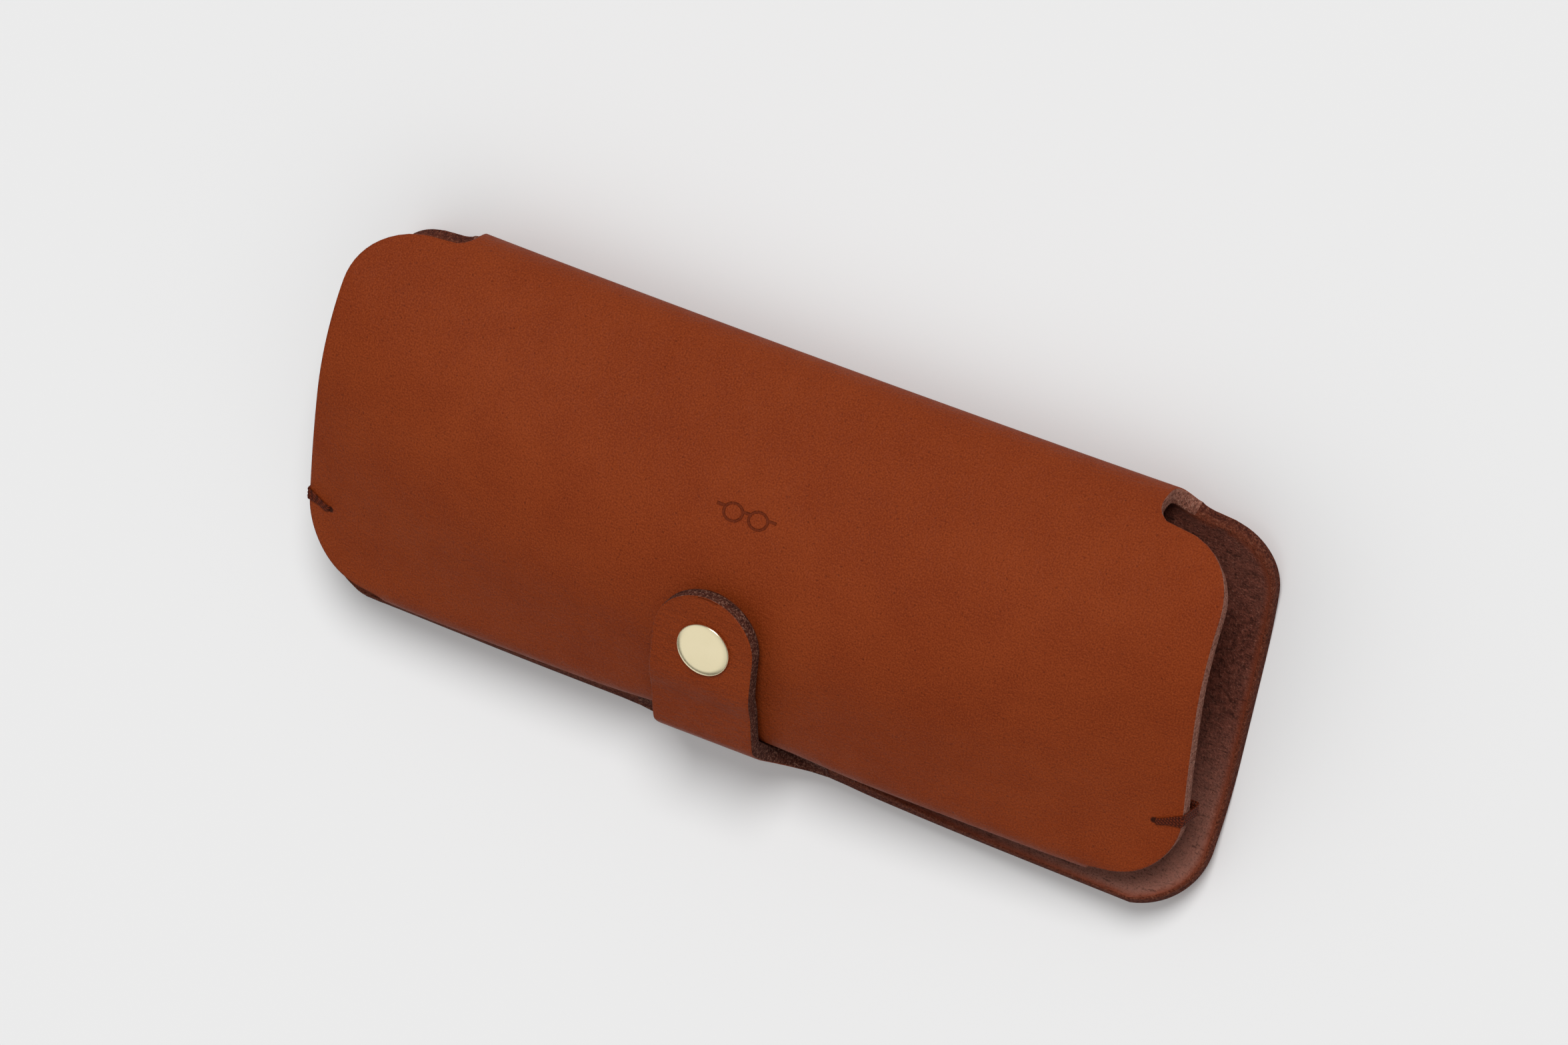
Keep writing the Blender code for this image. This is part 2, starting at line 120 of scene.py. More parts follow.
# End stitches.
STITCH_X = 80.5
STITCH_STATION = 144.3
STRANDS = 6
STRAND_RADIUS = 0.19
STITCH_SPREAD = 1.9
HOLE_SPREAD = 0.9
HOLE_RADIUS = 0.75
HOLE_INSET = 0.3
STITCH_SLANT = 0.9

# Pressed outline of a pair of spectacles: two lenses, a bridge and two short temples.
MARK_X = -1.1
MARK_STATION = 112.0
MARK_LENS = 1.75
MARK_LENS_GAP = 2.4
MARK_LENS_SQUASH = 1.15
MARK_BRIDGE_HALF = 0.62
MARK_TEMPLE_X = 4.95
MARK_TEMPLE_HALF = 0.5
MARK_BAR_RAISE = 0.6
MARK_LINE_CORE = 0.00014
MARK_LINE_RIM = 0.00032

# Meshes.
EDGE_ROUND = 0.32
FLESH_ROUND = 1.3
EDGE_FUZZ = 0.07
PANEL_COLUMNS = 150
TAB_COLUMNS = 34
X_LEVELS = np.linspace(0.0, 88.0, 34)

GRAIN, EDGE, FLESH = 0, 1, 2


# ---------------------------------------------------------------- the sheet's shape


def section_at(x):
    """Stations, points and headings (radians) of the grain face in the plane at x."""
    stations = np.arange(-2.0, SHEET_END + 0.5 * SHEET_STEP, SHEET_STEP)
    weight = max(0.0, 1.0 - (x / HALF_SECTION) ** 2)
    middle_stations = np.array(MIDDLE_STATIONS)
    middle_stations[8:10] -= STRAP_PINCH * math.exp(-((x / STRAP_PINCH_REACH) ** 4))
    middle = np.interp(stations, middle_stations, HEADING_MIDDLE)
    end = np.interp(stations, STATIONS, HEADING_END)
    heading = end + weight * (middle - end)
    half_window = int(HEADING_SMOOTHING / SHEET_STEP / 2)
    window = np.hanning(2 * half_window + 3)[1:-1]
    padded = np.pad(heading, half_window, mode="edge")
    heading = np.convolve(padded, window / window.sum(), mode="valid")
    curl = np.clip(1.0 - stations / EDGE_CURL_LENGTH, 0.0, None) ** 2
    heading = heading - EDGE_CURL * curl * math.exp(-((x / EDGE_CURL_REACH) ** 4))
    heading = np.radians(heading)
    between = 0.5 * (heading[1:] + heading[:-1])
    y = np.concatenate([[0.0], np.cumsum(np.cos(between) * SHEET_STEP)])
    z = np.concatenate([[0.0], np.cumsum(np.sin(between) * SHEET_STEP)])
    y += FLAT_Y - np.interp(FLAT_START, stations, y)
    z -= z.min()
    return np.stack([y + Y_SHIFT, z, heading])


SECTIONS = np.stack([section_at(x) for x in X_LEVELS])


def on_sheet(x, s, depth=0.0):
    """Points at x and s, the given depth under the grain face, as an array with rows of three."""
    x, s, depth = np.broadcast_arrays(np.asarray(x, float), np.asarray(s, float), depth)
    level = np.clip(abs(x) / (X_LEVELS[1] - X_LEVELS[0]), 0.0, len(X_LEVELS) - 1.001)
    low = level.astype(int)
    across = level - low
    station = np.clip((s + 2.0) / SHEET_STEP, 0.0, SECTIONS.shape[2] - 1.001)
    first = station.astype(int)
    along = station - first

    def value(k):
        near = SECTIONS[low, k, first] * (1 - along) + SECTIONS[low, k, first + 1] * along
        far = SECTIONS[low + 1, k, first] * (1 - along) + SECTIONS[low + 1, k, first + 1] * along
        return near * (1 - across) + far * across

    y, z, heading = value(0), value(1), value(2)
    return np.stack([x, y - depth * np.sin(heading), z + depth * np.cos(heading)], axis=-1)


def outward(x, s):
    """Unit normals of the grain face, away from the leather."""
    return on_sheet(x, s) - on_sheet(x, s, 1.0)


def edge_station(x):
    """Station of the back panel's lower edge."""
    x = np.asarray(x, float)
    bow = EDGE_BOW * np.exp(-(((x - EDGE_BOW_CENTRE) / EDGE_BOW_REACH) ** 4))
    return EDGE_MIDDLE - EDGE_SLOPE * x + bow


def rounded(half, radius, distance):
    """Half width at this distance inside an edge with a rounded corner."""
    if distance >= radius:
        return half
    rise = radius - max(distance, 0.0)
    return half - radius + math.sqrt(radius**2 - rise**2)


def notch_side(panel_half, radius, notch_half, distance):
    """Half width beyond a panel's shoulder, where a hollow fillet runs into the notch."""
    fillet = panel_half - radius - notch_half
    if distance >= fillet:
        return notch_half
    return notch_half + fillet - math.sqrt(fillet**2 - (fillet - distance) ** 2)


def half_width(s, side):
    """Distance from the middle to the sheet's end at station s, on the side -1 or 1."""
    top_a, top_b = TOP_NOTCH_START, TOP_NOTCH_STOP[side]
    low_a, low_b = BOTTOM_NOTCH
    if s <= top_a:
        lower = rounded(BACK_HALF, BACK_LOWER_RADIUS, s + CORNER_START)
        return min(lower, rounded(BACK_HALF, BACK_UPPER_RADIUS, top_a - s))
    if s <= top_b:
        from_back = notch_side(BACK_HALF, BACK_UPPER_RADIUS, TOP_NOTCH_HALF, s - top_a)
        from_front = notch_side(FRONT_HALF, FRONT_UPPER_RADIUS, TOP_NOTCH_HALF, top_b - s)
        return max(from_back, from_front)
    if s <= low_a:
        upper = rounded(FRONT_HALF, FRONT_UPPER_RADIUS, s - top_b)
        return min(upper, rounded(FRONT_HALF, FRONT_LOWER_RADIUS, low_a - s))
    if s <= low_b:
        from_front = notch_side(FRONT_HALF, FRONT_LOWER_RADIUS, BOTTOM_NOTCH_HALF, s - low_a)
        from_inner = notch_side(INNER_HALF, INNER_RADIUS, BOTTOM_NOTCH_HALF, low_b - s)
        return max(from_front, from_inner)
    lower = rounded(INNER_HALF, INNER_RADIUS, s - low_b)
    return min(lower, rounded(INNER_HALF, INNER_END_RADIUS, SHEET_END - s))


def tab_line():
    """Lengths, y, z and direction of the tab's grain face, from its root to its tip."""
    root_station = float(edge_station(TAB_CENTRE))
    root = on_sheet(TAB_CENTRE, root_station)
    away = root - on_sheet(TAB_CENTRE, root_station + 0.5)
    away = away / np.linalg.norm(away)
    stations = np.linspace(TAB_FOLD_STATION, TAB_TIP_STATION, 80)
    clearances = np.interp(
        stations,
        [TAB_TIP_STATION, SNAP_STATION, TAB_FOLD_STATION - 8.0],
        [TAB_SNAP_CLEARANCE + 0.25, TAB_SNAP_CLEARANCE, TAB_FOLD_CLEARANCE],
    )
    path = on_sheet(0.0, stations, -(clearances + THICK))[:, 1:]
    steps = np.diff(path, axis=0)
    lengths = np.linalg.norm(steps, axis=1)
    turns = np.arctan2(steps[:, 1], steps[:, 0])
    middles = 0.5 * (stations[1:] + stations[:-1])
    normal = outward(SNAP_X, SNAP_STATION)
    beyond = middles - SNAP_STATION
    hold = np.where(
        beyond > 0.0,
        (RELEASE_TO_FOLD - beyond) / (RELEASE_TO_FOLD - SNAP_FLAT),
        (RELEASE_TO_TIP + beyond) / (RELEASE_TO_TIP - SNAP_FLAT),
    )
    turns = turns + np.clip(hold, 0.0, 1.0) * (math.atan2(-normal[1], normal[2]) - turns)
    y = np.concatenate([[0.0], np.cumsum(lengths * np.cos(turns))])
    z = np.concatenate([[0.0], np.cumsum(lengths * np.sin(turns))])
    y += np.interp(-SNAP_STATION, -stations, path[:, 0] - y)
    z += np.interp(-SNAP_STATION, -stations, path[:, 1] - z)
    over = np.stack([y, z], axis=-1)
    along = (over[1] - over[0]) / np.linalg.norm(over[1] - over[0])
    handles = [root[1:], root[1:] + away[1:] * TAB_REACH, over[0] - along * TAB_REACH, over[0]]
    t = np.arange(40)[:, None] / 40.0
    wrap = (1 - t) ** 3 * handles[0] + 3 * t * (1 - t) ** 2 * handles[1]
    wrap = wrap + 3 * t**2 * (1 - t) * handles[2] + t**3 * handles[3]
    points = np.concatenate([wrap, over])
    run = np.concatenate([[0.0], np.cumsum(np.linalg.norm(np.diff(points, axis=0), axis=1))])
    even = np.linspace(0.0, run[-1], 241)
    y = np.interp(even, run, points[:, 0])
    z = np.interp(even, run, points[:, 1])
    turn = np.unwrap(np.arctan2(np.gradient(z), np.gradient(y)))
    turn[:2] = math.atan2(away[2], away[1])
    turn[3:-3] = np.convolve(turn, np.ones(7) / 7.0, mode="valid")
    return even, y, z, turn


TAB = tab_line()


def on_tab(x, t, depth=0.0):
    """Points of the tab at x and the distance t from its root, as on_sheet gives them."""
    x, t, depth = np.broadcast_arrays(np.asarray(x, float), np.asarray(t, float), depth)
    y, z, turn = (np.interp(t, TAB[0], values) for values in TAB[1:])
    ease = np.clip(1.0 - t / TAB_FILLET, 0.0, 1.0) ** 2
    root = on_sheet(TAB_CENTRE, edge_station(TAB_CENTRE))
    shift = on_sheet(x, edge_station(x)) - root
    y = y + shift[..., 1] * ease + depth * np.sin(turn)
    z = z + shift[..., 2] * ease - depth * np.cos(turn)
    return np.stack([x, y, z], axis=-1)


def tab_half(t):
    """Half width of the tab at the distance t from its root."""
    total = TAB[0][-1]
    if t < TAB_FILLET:
        return TAB_HALF + TAB_FILLET - math.sqrt(TAB_FILLET**2 - (TAB_FILLET - t) ** 2)
    if total - t < TAB_HALF:
        rise = TAB_HALF - (total - t)
        return math.sqrt(max(TAB_HALF**2 - rise**2, 0.5))
    return TAB_HALF


# ---------------------------------------------------------------- leather meshes


def stations_between(start, stop, fine, coarse, reach):
    """Stations from start to stop, fine within reach of both ends."""
    found = [start]
    while found[-1] < stop - 1e-6:
        here = found[-1]
        nearest = min(here - start, stop - here)
        share = min(1.0, max(0.0, nearest / reach))
        found.append(here + fine + (coarse - fine) * share)
    scale = (stop - start) / (found[-1] - start)
    return np.array([start + (value - start) * scale for value in found])


def rim_distance(x, s, rows, halves, cut_rows):
    """Distance from each point of the sheet to the nearest point of its cut outline."""
    left, right = np.array(halves).T
    nearest = np.full(x.shape, 99.0)
    for row, edge_left, edge_right in zip(rows, left, right):
        nearest = np.minimum(nearest, np.hypot(x + edge_left, s - row))
        nearest = np.minimum(nearest, np.hypot(x - edge_right, s - row))
    for row in cut_rows:
        nearest = np.minimum(nearest, abs(s - rows[row]))
    return nearest


def leather_mesh(name, place, rows, halves, columns, rim_of, cut_rows, middle=0.0):
    """A slab of leather: place(x, row, depth) gives points, and rim_of(x, row) how much its
    edge is rounded. The mesh has a UV map across and along the sheet, and the attributes
    depth (0 on the grain, 1 on the flesh) and rim (distance from the cut edge, mm). The
    rows listed in cut_rows are cut edges too."""
    across = np.linspace(-1.0, 1.0, columns)
    across = 0.72 * across + 0.28 * np.sin(0.5 * math.pi * across)
    left, right = np.array(halves).T
    x = np.where(across < 0.0, left[:, None], right[:, None]) * across + middle
    s = np.repeat(np.array(rows)[:, None], columns, axis=1)
    grain = place(x, s, 0.0)
    flesh = place(x, s, THICK)
    count_r, count_c = s.shape
    ring = [(0, c) for c in range(count_c)]
    ring += [(r, count_c - 1) for r in range(1, count_r)]
    ring += [(count_r - 1, c) for c in range(count_c - 2, -1, -1)]
    ring += [(r, 0) for r in range(count_r - 2, 0, -1)]
    ring_r = np.array([r for r, _ in ring])
    ring_c = np.array([c for _, c in ring])
    edge = grain[ring_r, ring_c]
    normal = grain[ring_r, ring_c] - flesh[ring_r, ring_c]
    normal /= np.linalg.norm(normal, axis=1)[:, None]
    tangent = np.roll(edge, -1, axis=0) - np.roll(edge, 1, axis=0)
    out = np.cross(tangent, normal)
    out /= np.linalg.norm(out, axis=1)[:, None] + 1e-12
    centre = grain.reshape(-1, 3).mean(axis=0)
    middle_ring = [i for i in range(len(ring)) if ring[i][0] == count_r // 2 and ring[i][1] > 0]
    if out[middle_ring[0]] @ (edge[middle_ring[0]] - centre) < 0:
        out = -out
    amount = rim_of(x[ring_r, ring_c], s[ring_r, ring_c])[:, None] * EDGE_ROUND
    down = -normal
    rng = np.random.default_rng(len(name) * 977 + count_r)
    profile = []
    for angle in (0.0, 35.0, 65.0, 90.0):
        a = math.radians(angle)
        profile.append((1.0 - math.cos(a), math.sin(a) - 1.0))
    loops = [edge + down * amount * d + out * amount * o for d, o in profile]
    depths = [float(EDGE_ROUND * d / THICK) for d, _ in profile]
    wall = [0.25, 0.4, 0.55, 0.7, 0.82]
    roughness = rng.normal(0.0, 1.0, (len(wall), len(ring)))
    roughness = 0.5 * roughness + 0.25 * (np.roll(roughness, 1, 1) + np.roll(roughness, -1, 1))
    for k, share in enumerate(wall):
        fuzz = EDGE_FUZZ * amount / EDGE_ROUND * roughness[k][:, None]
        loops.append(edge + down * THICK * share + out * fuzz)
        depths.append(share)
    flesh_edge = flesh[ring_r, ring_c]
    for d, o in reversed(profile):
        rise, reach = d * FLESH_ROUND, o * FLESH_ROUND
        loops.append(flesh_edge - down * amount * rise + out * amount * reach)
        depths.append(1.0 - float(EDGE_ROUND * rise / THICK))
    grain[ring_r, ring_c] = loops[0]
    flesh[ring_r, ring_c] = loops[-1]

    points = [grain.reshape(-1, 3), flesh.reshape(-1, 3)] + loops[1:-1]
    base_x = [x.ravel(), x.ravel()] + [x[ring_r, ring_c]] * (len(loops) - 2)
    base_s = [s.ravel(), s.ravel()] + [s[ring_r, ring_c]] * (len(loops) - 2)
    deep = [np.zeros(x.size), np.ones(x.size)]
    deep += [np.full(len(ring), d) for d in depths[1:-1]]
    points = np.concatenate(points) * MM
    base_x = np.concatenate(base_x)
    base_s = np.concatenate(base_s)
    deep = np.concatenate(deep)

    size = count_r * count_c
    faces, slots = [], []
    for r in range(count_r - 1):
        for c in range(count_c - 1):
            a, b = r * count_c + c, (r + 1) * count_c + c
            faces.append((a, a + 1, b + 1, b))
            slots.append(GRAIN)
            faces.append((size + a, size + b, size + b + 1, size + a + 1))
            slots.append(FLESH)

    def ring_index(loop, i):
        if loop == 0:
            return int(ring_r[i] * count_c + ring_c[i])
        if loop == len(loops) - 1:
            return int(size + ring_r[i] * count_c + ring_c[i])
        return 2 * size + (loop - 1) * len(ring) + i

    for loop in range(len(loops) - 1):
        slot = GRAIN if loop < 2 else EDGE
        for i in range(len(ring)):
            j = (i + 1) % len(ring)
            faces.append(
                (ring_index(loop, j), ring_index(loop, i), ring_index(loop + 1, i),
                 ring_index(loop + 1, j))
            )
            slots.append(slot)

    mesh = bpy.data.meshes.new(name)
    mesh.from_pydata(points.tolist(), [], faces)
    mesh.polygons.foreach_set("material_index", slots)
    rim = rim_distance(base_x - middle, base_s, rows, halves, cut_rows)
    for label, values in (("depth", deep), ("rim", rim)):
        attribute = mesh.attributes.new(label, "FLOAT", "POINT")
        attribute.data.foreach_set("value", values.astype(np.float32))
    layer = mesh.uv_layers.new(name="sheet")
    corner = np.empty(len(mesh.loops), dtype=np.int32)
    mesh.loops.foreach_get("vertex_index", corner)
    uv = np.stack([base_x[corner] * MM, base_s[corner] * MM], axis=-1)
    layer.uv.foreach_set("vector", uv.astype(np.float32).ravel())
    work = bmesh.new()
    work.from_mesh(mesh)
    bmesh.ops.recalc_face_normals(work, faces=work.faces)
    work.to_mesh(mesh)
    work.free()
    mesh.polygons.foreach_set("use_smooth", [True] * len(mesh.polygons))
    mesh.set_sharp_from_angle(angle=math.radians(60.0))
    return mesh


def add_piece(name, mesh, materials):
    obj = bpy.data.objects.new(name, mesh)
    bpy.context.scene.collection.objects.link(obj)
    for material in materials:
        obj.data.materials.append(material)
    return obj


# ---------------------------------------------------------------- materials


class Nodes:
    """Short helpers for building a node tree."""

    def __init__(self, name):
        self.material = bpy.data.materials.new(name)
        self.material.use_nodes = True
        self.tree = self.material.node_tree
        self.shader = self.tree.nodes["Principled BSDF"]

    def add(self, kind, **settings):
        node = self.tree.nodes.new(kind)
        for key, value in settings.items():
            setattr(node, key, value)
        return node

    def link(self, source, target):
        self.tree.links.new(source, target)

    def value(self, node, name, amount):
        node.inputs[name].default_value = amount

    def uv(self):
        return self.add("ShaderNodeUVMap", uv_map="sheet").outputs["UV"]

    def split(self, vector):
        """The X and Y of a vector: across and along the sheet, for its UV map."""
        node = self.add("ShaderNodeSeparateXYZ")
        self.link(vector, node.inputs[0])
        return node.outputs["X"], node.outputs["Y"]

    def stretch(self, vector, angle, scale_x):
        """The vector turned by an angle and then stretched along X, for drawn-out noise."""
        node = self.add("ShaderNodeMapping")
        node.inputs["Rotation"].default_value = (0.0, 0.0, angle)
        node.inputs["Scale"].default_value = (scale_x, 1.0, 1.0)
        self.link(vector, node.inputs["Vector"])
        return node.outputs["Vector"]

    def solid(self):
        return self.add("ShaderNodeTexCoord").outputs["Object"]

    def attribute(self, name):
        return self.add("ShaderNodeAttribute", attribute_name=name).outputs["Fac"]

    def noise(self, vector, scale, detail=2.0, rough=0.5):
        node = self.add("ShaderNodeTexNoise")
        self.link(vector, node.inputs["Vector"])
        self.value(node, "Scale", scale)
        self.value(node, "Detail", detail)
        self.value(node, "Roughness", rough)
        return node.outputs["Fac"]

    def voronoi(self, vector, scale, feature="F1"):
        node = self.add("ShaderNodeTexVoronoi", feature=feature)
        self.link(vector, node.inputs["Vector"])
        self.value(node, "Scale", scale)
        return node.outputs["Distance"]

    def math(self, operation, a, b=None):
        node = self.add("ShaderNodeMath", operation=operation)
        for slot, item in ((0, a), (1, b)):
            if item is None:
                continue
            if isinstance(item, (int, float)):
                node.inputs[slot].default_value = item
            else:
                self.link(item, node.inputs[slot])
        return node.outputs[0]

    def remap(self, value, low, high, to_low=0.0, to_high=1.0):
        node = self.add("ShaderNodeMapRange")
        self.link(value, node.inputs["Value"])
        self.value(node, "From Min", low)
        self.value(node, "From Max", high)
        self.value(node, "To Min", to_low)
        self.value(node, "To Max", to_high)
        return node.outputs["Result"]

    def mix(self, factor, first, second):
        node = self.add("ShaderNodeMix", data_type="RGBA")
        self.link(factor, node.inputs[0])
        for slot, item in ((6, first), (7, second)):
            if isinstance(item, tuple):
                node.inputs[slot].default_value = (*item, 1.0)
            else:
                self.link(item, node.inputs[slot])
        return node.outputs[2]

    def bump(self, height, strength, distance, before=None):
        node = self.add("ShaderNodeBump")
        self.value(node, "Strength", strength)
        self.value(node, "Distance", distance)
        self.link(height, node.inputs["Height"])
        if before is not None:
            self.link(before, node.inputs["Normal"])
        return node.outputs["Normal"]

    def finish(self, colour=None, roughness=None, normal=None):
        for key, item in (("Base Color", colour), ("Roughness", roughness), ("Normal", normal)):
            if item is not None:
                self.link(item, self.shader.inputs[key])
        return self.material


def square_distance(n, du, dv):
    return n.math("ADD", n.math("MULTIPLY", du, du), n.math("MULTIPLY", dv, dv))


def pressed_mark(n, u, v):
    """Mask of a pressed outline of a pair of spectacles on the front panel."""
    mask = None
    for centre in (MARK_X - MARK_LENS_GAP, MARK_X + MARK_LENS_GAP):
        du = n.math("SUBTRACT", u, centre * MM)
        dv = n.math("MULTIPLY", n.math("SUBTRACT", v, MARK_STATION * MM), MARK_LENS_SQUASH)
        radius = n.math("SQRT", square_distance(n, du, dv))
        apart = n.math("ABSOLUTE", n.math("SUBTRACT", radius, MARK_LENS * MM))
        ring = n.remap(apart, MARK_LINE_CORE, MARK_LINE_RIM, 1.0, 0.0)
        mask = ring if mask is None else n.math("MAXIMUM", mask, ring)
    bars = (
        (MARK_X, MARK_BRIDGE_HALF),
        (MARK_X - MARK_TEMPLE_X, MARK_TEMPLE_HALF),
        (MARK_X + MARK_TEMPLE_X, MARK_TEMPLE_HALF),
    )
    for centre, half in bars:
        across = n.math("ABSOLUTE", n.math("SUBTRACT", u, centre * MM))
        du = n.math("SUBTRACT", across, half * MM)
        dv = n.math("ABSOLUTE", n.math("SUBTRACT", v, (MARK_STATION - MARK_BAR_RAISE) * MM))
        bar = n.remap(n.math("MAXIMUM", du, dv), MARK_LINE_CORE, MARK_LINE_RIM, 1.0, 0.0)
        mask = n.math("MAXIMUM", mask, bar)
    return mask


def stitch_hole_shade(n, u, v):
    """Mask of painted shade round the hole of each end stitch: a near-black spot for the shade
    inside the hole.
    """
    du = n.math("SUBTRACT", n.math("ABSOLUTE", u), (STITCH_X - HOLE_INSET) * MM)
    dv = n.math("SUBTRACT", v, STITCH_STATION * MM)
    radius = n.math("SQRT", square_distance(n, du, dv))
    return n.remap(radius, 0.6 * HOLE_RADIUS * MM, HOLE_RADIUS * MM, 0.9, 0.0)


def grain_leather():
    """Fine matt grain: pores, soft clouds, wrinkles by the top fold, a pressed mark and painted
    shade in the stitch holes.
    """
    n = Nodes("leather_grain")
    uv = n.uv()
    fine = n.noise(uv, 3300.0, 2.0, 0.6)
    grain = n.noise(uv, 1500.0, 3.0, 0.65)
    cells = n.voronoi(uv, 1250.0, "SMOOTH_F1")
    pores = n.voronoi(uv, 640.0)
    mottle = n.noise(uv, 110.0, 4.0, 0.6)
    clouds = n.noise(uv, 22.0, 3.0, 0.5)
    pore = n.remap(pores, 0.05, 0.16)
    u, v = n.split(uv)
    mark = pressed_mark(n, u, v)
    hole_shade = stitch_hole_shade(n, u, v)
    colour = n.mix(n.remap(clouds, 0.32, 0.68), (0.196, 0.0292, 0.0044), (0.228, 0.0380, 0.0070))
    colour = n.mix(n.remap(mottle, 0.40, 0.70, 0.0, 0.45), colour, (0.166, 0.0220, 0.0034))
    colour = n.mix(n.remap(fine, 0.50, 0.66, 0.0, 0.45), colour, (0.300, 0.0590, 0.0135))
    colour = n.mix(n.remap(fine, 0.34, 0.50, 0.45, 0.0), colour, (0.100, 0.0120, 0.0020))
    colour = n.mix(n.remap(pore, 0.0, 1.0, 0.45, 0.0), colour, (0.065, 0.0085, 0.0025))
    colour = n.mix(n.math("MULTIPLY", mark, 0.62), colour, (0.070, 0.0095, 0.0030))
    # Painted shade: the stitch holes are coloured near black for the shade inside them.
    colour = n.mix(hole_shade, colour, (0.010, 0.0025, 0.0015))
    height = n.math("ADD", fine, n.math("MULTIPLY", grain, 1.2))
    height = n.math("ADD", height, n.math("MULTIPLY", cells, -0.60))
    height = n.math("ADD", height, n.math("MULTIPLY", pore, 0.20))
    normal = n.bump(n.math("SUBTRACT", 1.0, mark), 0.9, 0.00022)
    normal = n.bump(n.noise(uv, 260.0, 3.0, 0.6), 0.25, 0.0006, normal)
    wrinkles = n.noise(n.stretch(uv, 0.12, 0.42), 1100.0, 3.0, 0.6)
    near_fold = n.math("MULTIPLY", n.remap(v, 0.082, 0.118, 1.0, 0.0), 2.6)
    height = n.math("ADD", height, n.math("MULTIPLY", wrinkles, near_fold))
    normal = n.bump(height, 0.60, 0.00020, normal)
    roughness = n.remap(n.noise(uv, 300.0, 2.0), 0.3, 0.7, 0.50, 0.62)
    n.shader.inputs["Specular IOR Level"].default_value = 0.08
    return n.finish(colour, roughness, normal)


def flesh_leather():
    """Fibrous flesh side: matted fibres, loose hairs, paler worn corners, a reddish rim."""
    n = Nodes("leather_flesh")
    uv = n.uv()
    fine = n.noise(uv, 2300.0, 3.0, 0.75)
    matted = n.noise(uv, 750.0, 4.0, 0.75)
    patches = n.noise(uv, 70.0, 3.0)
    u, v = n.split(uv)
    worn = n.math("ADD", v, n.math("MULTIPLY", patches, 0.02))
    worn = n.remap(worn, 0.012, 0.050, 0.62, 0.0)
    off_centre = n.math("ABSOLUTE", u)
    worn = n.math("MULTIPLY", worn, n.remap(off_centre, 0.030, 0.065, 0.30, 1.0))
    hair = n.remap(n.noise(n.stretch(uv, 0.5, 0.16), 1500.0, 4.0, 0.7), 0.60, 0.68)
    rim = n.math("ADD", n.attribute("rim"), n.math("MULTIPLY", matted, 1.2))
    colour = n.mix(n.remap(matted, 0.35, 0.66), (0.052, 0.0130, 0.0080), (0.190, 0.0540, 0.0340))
    colour = n.mix(n.remap(patches, 0.42, 0.75, 0.0, 0.45), colour, (0.230, 0.0800, 0.0560))
    colour = n.mix(worn, colour, (0.400, 0.1800, 0.1330))
    colour = n.mix(n.remap(fine, 0.55, 0.68, 0.0, 0.55), colour, (0.360, 0.1500, 0.1050))
    colour = n.mix(n.remap(fine, 0.32, 0.46, 0.70, 0.0), colour, (0.024, 0.0070, 0.0050))
    colour = n.mix(n.math("MULTIPLY", hair, 0.45), colour, (0.018, 0.0055, 0.0045))
    colour = n.mix(n.remap(rim, 1.1, 2.3, 0.80, 0.0), colour, (0.210, 0.0420, 0.0160))
    height = n.math("ADD", n.math("MULTIPLY", matted, 1.1), n.math("MULTIPLY", fine, 0.8))
    height = n.math("ADD", height, n.math("MULTIPLY", hair, -0.3))
    normal = n.bump(height, 0.95, 0.0006)
    n.shader.inputs["Roughness"].default_value = 0.95
    n.shader.inputs["Specular IOR Level"].default_value = 0.12
    return n.finish(colour, None, normal)


def cut_edge(name, upper, lower, flecks):
    """Raw cut edge: a fuzzy band under the grain, other fibres below it, and pale flecks."""
    n = Nodes(name)
    solid = n.solid()
    depth = n.attribute("depth")
    fibres = n.noise(solid, 2300.0, 3.0, 0.8)
    coarse = n.noise(solid, 700.0, 3.0, 0.7)
    wander = n.math("ADD", depth, n.math("MULTIPLY", n.math("SUBTRACT", coarse, 0.5), 0.7))
    colour = n.mix(n.remap(wander, 0.40, 0.75), upper, lower)
    colour = n.mix(n.remap(fibres, 0.52, 0.64, 0.0, 0.70), colour, flecks)
    colour = n.mix(n.remap(fibres, 0.34, 0.47, 0.80, 0.0), colour, (0.022, 0.0070, 0.0055))
    height = n.math("ADD", fibres, n.math("MULTIPLY", coarse, 1.2))
    normal = n.bump(height, 1.0, 0.0008)
    n.shader.inputs["Roughness"].default_value = 0.95
    n.shader.inputs["Specular IOR Level"].default_value = 0.12
    return n.finish(colour, None, normal)


def brass():
    """Pale lacquered brass with very fine polishing marks."""
    n = Nodes("pale_brass")
    solid = n.solid()
    marks = n.noise(solid, 3000.0, 2.0)
    cast = n.noise(solid, 180.0, 2.0)
    colour = n.mix(n.remap(cast, 0.3, 0.7), (1.0, 0.88, 0.59), (0.97, 0.85, 0.56))
    roughness = n.remap(marks, 0.3, 0.7, 0.17, 0.25)
    normal = n.bump(marks, 0.05, 0.00005)
    n.shader.inputs["Metallic"].default_value = 1.0
    return n.finish(colour, roughness, normal)


def thread():
    """Waxed twisted thread."""
    n = Nodes("thread")
    solid = n.solid()
    wave = n.add("ShaderNodeTexWave", wave_type="BANDS", bands_direction="DIAGONAL")
    n.link(solid, wave.inputs["Vector"])
    n.value(wave, "Scale", 900.0)
    n.value(wave, "Distortion", 1.5)
    ply = wave.outputs["Fac"]
    colour = n.mix(ply, (0.026, 0.0042, 0.0018), (0.125, 0.0190, 0.0045))
    normal = n.bump(ply, 0.5, 0.0001)
    n.shader.inputs["Roughness"].default_value = 0.70
    n.shader.inputs["Specular IOR Level"].default_value = 0.12
    return n.finish(colour, None, normal)
